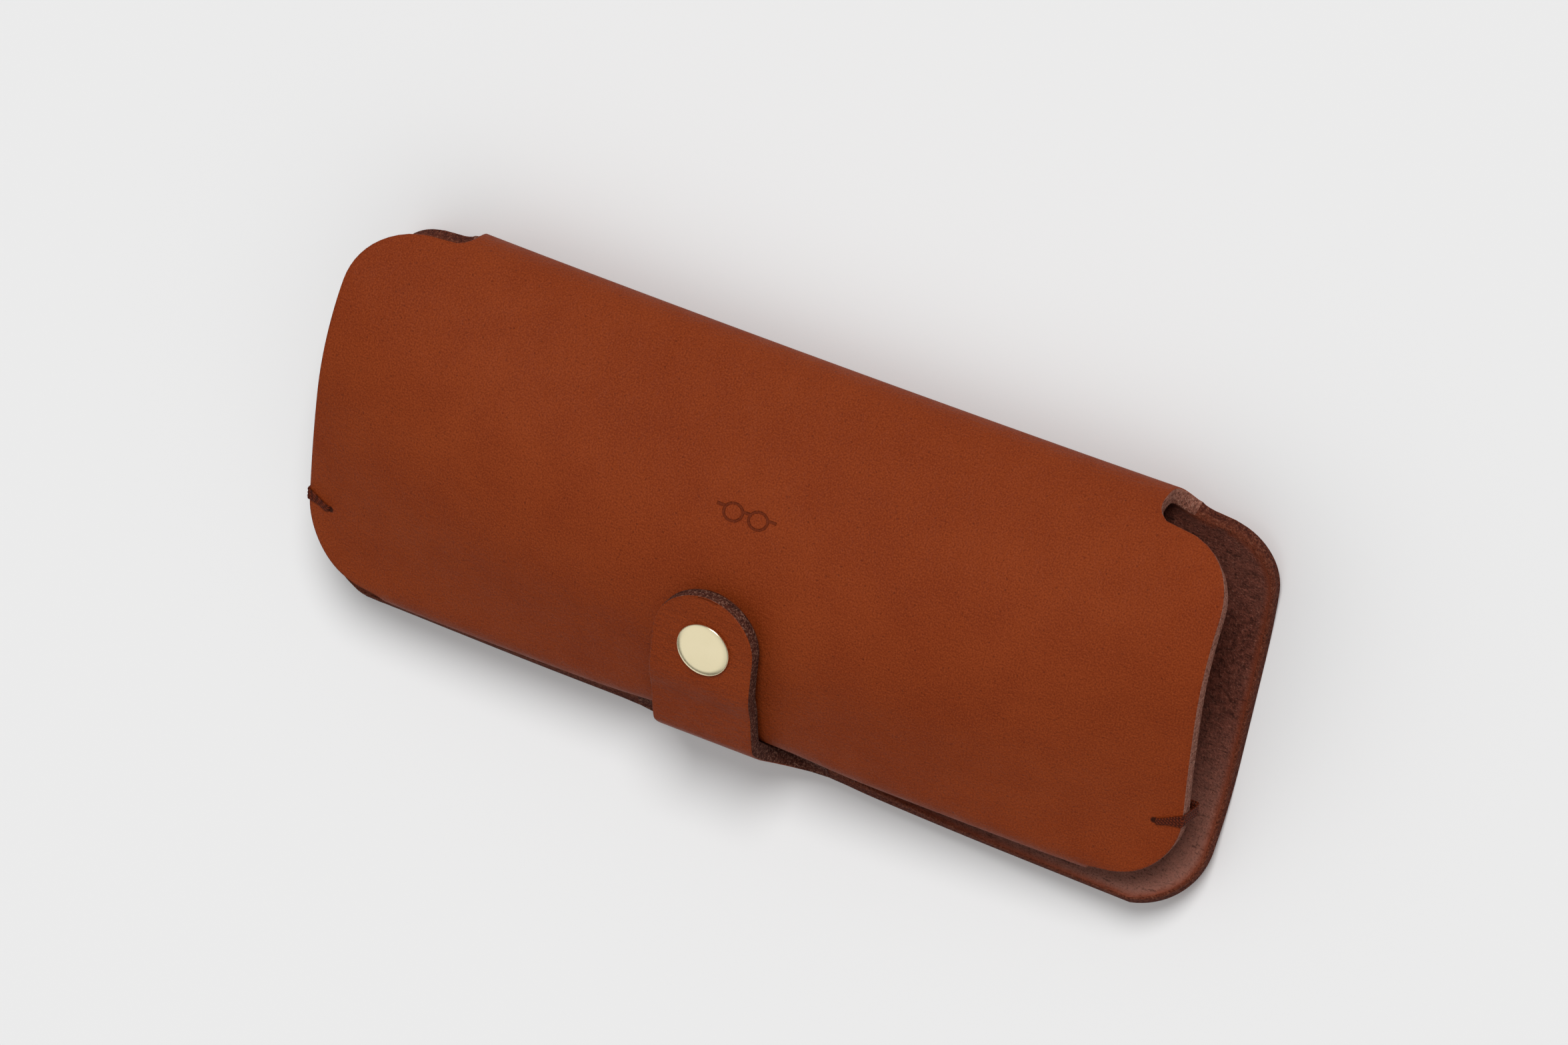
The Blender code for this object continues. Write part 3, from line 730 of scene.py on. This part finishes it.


# ---------------------------------------------------------------- building the leather

# Colours of each raw edge: under the grain, below that, and its flecks. All three are the same
# leather's cut edge; the pocket's colours are lightened with painted light, the tab's darkened
# with painted shade.
BACK_EDGE = ((0.105, 0.0230, 0.0125), (0.155, 0.0340, 0.0150), (0.300, 0.1050, 0.0600))
# Painted light: the pocket's cut edge is coloured lighter for the light that falls on it.
POCKET_EDGE_PAINTED_LIGHT = ((0.320, 0.1230, 0.0830), (0.240, 0.0860, 0.0560), (0.500, 0.2600, 0.1900))
# Painted shade: the tab's cut edge is coloured darker for the shade on it.
TAB_EDGE_PAINTED_SHADE = ((0.110, 0.0290, 0.0170), (0.075, 0.0190, 0.0115), (0.420, 0.2150, 0.1500))

grain = grain_leather()
flesh = flesh_leather()


def sheet_halves(rows):
    """Half widths to the left and to the right at each row."""
    return [(half_width(s, -1), half_width(s, 1)) for s in rows]


def smooth_step(value, low, high):
    t = np.clip((value - low) / (high - low), 0.0, 1.0)
    return t * t * (3.0 - 2.0 * t)


def place_back(x, s, depth):
    """on_sheet, with the lower rows moved so that row 0 follows the askew lower edge."""
    along = s + edge_station(x) * np.clip(1.0 - s / 30.0, 0.0, None)
    return on_sheet(x, along, depth)


def back_rim(x, s):
    """Rounded all round, but square where the tab and the top fold carry on."""
    tab_end = TAB_HALF + TAB_FILLET
    beside_tab = smooth_step(abs(x - TAB_CENTRE), tab_end, tab_end + 4.0)
    lower = np.where(s < 0.2, beside_tab, 1.0)
    at_fold = np.where(s > BACK_TOP - 0.05, 0.0, 1.0)
    return lower * at_fold


def pocket_rim(x, s):
    """Rounded, but square where the top fold joins the back panel."""
    return np.where(s < BACK_TOP + 0.05, 0.0, 1.0)


def tab_rim(x, t):
    """Rounded, but square at the root."""
    return smooth_step(t, 0.0, 4.0)


rows = stations_between(0.0, BACK_TOP, 0.35, 1.5, 18.0)
mesh = leather_mesh(
    "back_leather", place_back, rows, sheet_halves(rows), PANEL_COLUMNS, back_rim, [0]
)
back_leather = add_piece(
    "back_leather", mesh, [grain, cut_edge("back_edge", *BACK_EDGE), flesh]
)

rows = np.concatenate([
    stations_between(BACK_TOP, BOTTOM_NOTCH[0], 0.4, 1.3, 18.0)[:-1],
    stations_between(BOTTOM_NOTCH[0], SHEET_END, 0.4, 0.7, 8.0),
])
mesh = leather_mesh(
    "pocket_leather", on_sheet, rows, sheet_halves(rows), PANEL_COLUMNS, pocket_rim, [-1]
)
pocket_leather = add_piece(
    "pocket_leather", mesh, [grain, cut_edge("pocket_edge_painted_light", *POCKET_EDGE_PAINTED_LIGHT), flesh]
)

total = TAB[0][-1]
rows = np.concatenate([
    np.linspace(0.0, total - 6.0, 66)[:-1],
    total - 6.0 * (1.0 - np.sin(np.linspace(0.0, 0.5 * math.pi, 22))),
])
tab_halves = [(tab_half(t), tab_half(t)) for t in rows]
mesh = leather_mesh(
    "tab_leather", on_tab, rows, tab_halves, TAB_COLUMNS, tab_rim, [-1], TAB_CENTRE
)
tab_leather = add_piece(
    "tab_leather", mesh, [grain, cut_edge("tab_edge_painted_shade", *TAB_EDGE_PAINTED_SHADE), flesh]
)

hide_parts("back_panel")
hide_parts("top_fold", "front_panel", "bottom_fold", "inner_panel")
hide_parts("tab_root", "closure_tab")


# ---------------------------------------------------------------- snap


def lathe(name, profile, materials, steps=96):
    """Closed solid of revolution about local Z, in metres, from (radius, height) in mm."""
    work = bmesh.new()
    rings = []
    for radius, height in profile:
        if radius < 1e-6:
            rings.append([work.verts.new((0.0, 0.0, height * MM))])
            continue
        angles = [2.0 * math.pi * i / steps for i in range(steps)]
        r, z = radius * MM, height * MM
        rings.append([work.verts.new((r * math.cos(a), r * math.sin(a), z)) for a in angles])
    pairs = list(zip(rings, rings[1:]))
    if profile[0][0] > 1e-6:
        pairs.append((rings[-1], rings[0]))
    for first, second in pairs:
        for i in range(steps):
            j = (i + 1) % steps
            corners = [first[i % len(first)], first[j % len(first)]]
            corners += [second[j % len(second)], second[i % len(second)]]
            unique = list(dict.fromkeys(corners))
            if len(unique) > 2:
                work.faces.new(unique)
    bmesh.ops.recalc_face_normals(work, faces=work.faces)
    mesh = bpy.data.meshes.new(name)
    work.to_mesh(mesh)
    work.free()
    mesh.polygons.foreach_set("use_smooth", [True] * len(mesh.polygons))
    mesh.set_sharp_from_angle(angle=math.radians(50.0))
    return add_piece(name, mesh, materials)


def rounded_profile(points):
    """Profile with each corner (radius, height, fillet) replaced by a short arc."""
    out = []
    for i, (r, h, fillet) in enumerate(points):
        here = Vector((r, h))
        if fillet <= 0.0 or i in (0, len(points) - 1):
            out.append((r, h))
            continue
        before = Vector(points[i - 1][:2]) - here
        after = Vector(points[i + 1][:2]) - here
        reach = min(fillet, 0.48 * before.length, 0.48 * after.length)
        a = here + before.normalized() * reach
        b = here + after.normalized() * reach
        for k in range(7):
            t = k / 6.0
            p = a * (1 - t) ** 2 + here * 2 * t * (1 - t) + b * t**2
            out.append((p.x, p.y))
    return out


def seat(obj, height):
    """Put a lathed piece on the snap's axis, at this height over the front panel's grain."""
    normal = Vector(outward(SNAP_X, SNAP_STATION))
    base = Vector(on_sheet(SNAP_X, SNAP_STATION)) + normal * height
    turn = Vector((0.0, 0.0, 1.0)).rotation_difference(normal).to_matrix().to_4x4()
    obj.matrix_world = Matrix.Translation(base * MM) @ turn


metal = brass()
cap = lathe("cap_metal", rounded_profile([
    (0.0, 1.02, 0.0), (2.6, 1.0, 0.6), (4.15, 0.93, 0.7), (5.0, 0.62, 0.55), (4.98, 0.12, 0.2),
    (4.6, 0.02, 0.1), (2.6, 0.04, 0.0), (2.6, -2.9, 0.1), (1.8, -2.9, 0.1), (1.8, 0.3, 0.0),
    (0.0, 0.3, 0.0),
]), [metal])
seat(cap, TAB_SNAP_CLEARANCE + THICK)
socket = lathe("socket_metal", rounded_profile([
    (4.2, -0.06, 0.1), (4.2, -0.8, 0.2), (3.9, -0.88, 0.15), (2.6, -0.88, 0.2), (2.5, -0.5, 0.1),
    (2.5, -0.06, 0.0), (3.4, -0.06, 0.0),
]), [metal])
seat(socket, TAB_SNAP_CLEARANCE)
stud = lathe("stud_metal", rounded_profile([
    (0.0, 1.28, 0.0), (1.75, 1.28, 0.3), (2.02, 0.95, 0.2), (1.85, 0.48, 0.1), (3.9, 0.42, 0.1),
    (4.0, 0.12, 0.1), (3.8, 0.02, 0.1), (0.0, 0.02, 0.0),
]), [metal])
seat(stud, 0.0)
post = lathe("post_metal", rounded_profile([
    (1.5, 0.0, 0.0), (1.5, -3.3, 0.1), (3.8, -3.3, 0.1), (3.9, -3.5, 0.15), (3.6, -3.78, 0.2),
    (1.9, -3.9, 0.3), (1.0, -3.7, 0.2), (1.0, 0.0, 0.0), (1.3, 0.0, 0.0),
]), [metal])
seat(post, 0.0)
snap_pieces = (
    (cap, "snap_cap"),
    (socket, "snap_socket"),
    (stud, "snap_stud"),
    (post, "snap_post"),
)
for piece, node in snap_pieces:
    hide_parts(node)


# ---------------------------------------------------------------- end stitches


def tube(work, path, radius, sides=8):
    """Closed tube with rounded-off ends along a path of points in mm."""
    path = [Vector(p) for p in path]
    rings = []
    side = None
    for i, point in enumerate(path):
        forward = (path[min(i + 1, len(path) - 1)] - path[max(i - 1, 0)]).normalized()
        if side is None:
            side = forward.orthogonal().normalized()
        side = (side - forward * side.dot(forward)).normalized()
        other = forward.cross(side)
        ring = []
        for k in range(sides):
            angle = 2.0 * math.pi * k / sides
            offset = side * math.cos(angle) + other * math.sin(angle)
            ring.append(work.verts.new((point + offset * radius) * MM))
        rings.append(ring)
    for first, second in zip(rings, rings[1:]):
        for k in range(sides):
            j = (k + 1) % sides
            work.faces.new([first[k], first[j], second[j], second[k]])
    work.faces.new(list(reversed(rings[0])))
    work.faces.new(rings[-1])


def inner_stitch_station():
    """Station on the inner panel straight under the stitch."""
    top = Vector(on_sheet(STITCH_X, STITCH_STATION))
    down = -Vector(outward(STITCH_X, STITCH_STATION))
    stations = np.arange(172.0, SHEET_END - 3.0, 0.1)
    apart = [(Vector(p) - top).cross(down).length for p in on_sheet(STITCH_X, stations)]
    return float(stations[int(np.argmin(apart))])


def smooth_path(corners, rounds=3):
    """Open path with its corners cut (Chaikin), keeping the two ends."""
    path = [Vector(c) for c in corners]
    for _ in range(rounds):
        cut = [path[0]]
        for a, b in zip(path, path[1:]):
            cut.append(a * 0.75 + b * 0.25)
            cut.append(a * 0.25 + b * 0.75)
        cut.append(path[-1])
        path = cut
    return path


def stitch(name, side, material):
    """Strands that come out of one hole, spread over the sheet's end and go in below."""
    low_station = inner_stitch_station()
    edge_x = half_width(STITCH_STATION, side)
    up = Vector(outward(side * STITCH_X, STITCH_STATION))
    sink = Vector(outward(side * STITCH_X, low_station))
    out_way = Vector((side, 0.0, 0.0))
    work = bmesh.new()
    rng = random.Random(17 if side > 0 else 23)
    for k in range(STRANDS):
        share = k / (STRANDS - 1) - 0.5
        apart = share * STITCH_SPREAD + rng.uniform(-0.08, 0.08)
        lift = STRAND_RADIUS * (0.75 + 0.5 * (k % 2)) + rng.uniform(0.0, 0.05)
        over = STITCH_STATION - STITCH_SLANT - apart
        hole = Vector(on_sheet(side * STITCH_X, STITCH_STATION - share * HOLE_SPREAD))
        low_hole = Vector(on_sheet(side * STITCH_X, low_station + share * HOLE_SPREAD))
        halfway = STITCH_STATION - 0.55 * STITCH_SLANT - 0.6 * apart
        mid = Vector(on_sheet(side * (STITCH_X + 0.5 * (edge_x - STITCH_X)), halfway))
        rim = Vector(on_sheet(side * (edge_x - 0.35), over))
        wall = Vector(on_sheet(side * edge_x, over, 1.0))
        low_wall = Vector(on_sheet(side * edge_x, low_station + apart, 1.0))
        low_wall.x = side * edge_x
        low_rim = Vector(on_sheet(side * (edge_x - 0.5), low_station + apart))
        low_rim.x = side * (edge_x - 0.5)
        points = [
            hole - up * 0.8, hole + up * (0.5 * lift), hole + up * lift + out_way * 0.5,
            mid + up * lift, rim + up * lift, rim + up * (0.6 * lift) + out_way * (0.3 + lift),
            wall + out_way * lift, (wall + low_wall) * 0.5 + out_way * lift,
            low_wall + out_way * lift, low_rim + out_way * (0.4 + lift) + sink * (0.6 * lift),
            low_rim + sink * lift, low_hole + sink * lift, low_hole - sink * 0.8,
        ]
        tube(work, smooth_path(points), STRAND_RADIUS)
    bmesh.ops.recalc_face_normals(work, faces=work.faces)
    mesh = bpy.data.meshes.new(name)
    work.to_mesh(mesh)
    work.free()
    mesh.polygons.foreach_set("use_smooth", [True] * len(mesh.polygons))
    return add_piece(name, mesh, [material])


twist = thread()
stitches = []
for label, side in (("left", -1), ("right", 1)):
    piece = stitch("thread_" + label, side, twist)
    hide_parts("stitch_" + label)
    stitches.append(piece)


# ---------------------------------------------------------------- bodies

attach(back_leather, "back")
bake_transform(pocket_leather)
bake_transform(tab_leather)
for piece in (cap, socket):
    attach(piece, "tab")
for piece in (stud, post, *stitches):
    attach(piece, "pocket")


# ---------------------------------------------------------------- floor, light and camera

floor_mesh = bpy.data.meshes.new("floor")
reach = 6.0
floor_mesh.from_pydata(
    [(-reach, -reach, 0.0), (reach, -reach, 0.0), (reach, reach, 0.0), (-reach, reach, 0.0)],
    [], [(0, 1, 2, 3)],
)
floor = add_piece("floor", floor_mesh, [])
paper = Nodes("pale_floor")
paper.shader.inputs["Base Color"].default_value = (0.82, 0.82, 0.82, 1.0)
paper.shader.inputs["Roughness"].default_value = 0.95
paper.shader.inputs["Specular IOR Level"].default_value = 0.1
floor.data.materials.append(paper.finish())

# Soft sky: a grey horizon, white higher up, and brighter round one broad softbox.
world = bpy.data.worlds.new("studio")
world.use_nodes = True
tree = world.node_tree
background = tree.nodes["Background"]
towards = tree.nodes.new("ShaderNodeTexCoord")
parts = tree.nodes.new("ShaderNodeSeparateXYZ")
ramp = tree.nodes.new("ShaderNodeMapRange")
shades = tree.nodes.new("ShaderNodeMix")
shades.data_type = "RGBA"
shades.inputs[6].default_value = (0.30, 0.30, 0.29, 1.0)
shades.inputs[7].default_value = (1.0, 1.0, 1.0, 1.0)
ramp.inputs["From Min"].default_value = 0.20
ramp.inputs["From Max"].default_value = 0.42
tree.links.new(towards.outputs["Generated"], parts.inputs[0])
tree.links.new(parts.outputs["Z"], ramp.inputs["Value"])
tree.links.new(ramp.outputs["Result"], shades.inputs[0])
tree.links.new(shades.outputs[2], background.inputs["Color"])
facing = tree.nodes.new("ShaderNodeVectorMath")
facing.operation = "DOT_PRODUCT"
facing.inputs[1].default_value = (-0.36, -0.58, 0.73)
tree.links.new(towards.outputs["Generated"], facing.inputs[0])
softbox = tree.nodes.new("ShaderNodeMapRange")
softbox.inputs["From Min"].default_value = 0.52
softbox.inputs["From Max"].default_value = 0.94
softbox.inputs["To Min"].default_value = 0.36
softbox.inputs["To Max"].default_value = 0.78
tree.links.new(facing.outputs["Value"], softbox.inputs["Value"])
tree.links.new(softbox.outputs["Result"], background.inputs["Strength"])
bpy.context.scene.world = world
bpy.context.scene.view_settings.view_transform = "Standard"


def add_sun(name, direction, energy, angle):
    lamp = bpy.data.lights.new(name, "SUN")
    lamp.energy = energy
    lamp.angle = math.radians(angle)
    obj = bpy.data.objects.new(name, lamp)
    obj.rotation_euler = Vector(direction).to_track_quat("Z", "Y").to_euler()
    bpy.context.scene.collection.objects.link(obj)


add_sun("key", (0.24, 0.78, 1.0), 2.22, 23.0)

CAMERA_DISTANCE = 2.0
camera_data = bpy.data.cameras.new("camera")
camera_data.sensor_width = 36.0
camera_data.lens = 266.3
camera_data.clip_start = 0.05
camera_data.clip_end = 20.0
camera = bpy.data.objects.new("camera", camera_data)
bpy.context.scene.collection.objects.link(camera)
target = Vector((-0.00571, 0.00242, -0.00208))
azimuth, elevation, roll = math.radians(44.385), math.radians(61.200), math.radians(-117.754)
direction = Vector((
    math.cos(elevation) * math.cos(azimuth),
    math.cos(elevation) * math.sin(azimuth),
    math.sin(elevation),
))
upright = direction.to_track_quat("Z", "Y").to_matrix().to_4x4()
camera.matrix_world = (
    Matrix.Translation(target + direction * CAMERA_DISTANCE)
    @ upright
    @ Matrix.Rotation(roll, 4, "Z")
)
bpy.context.scene.camera = camera

bpy.context.view_layer.update()
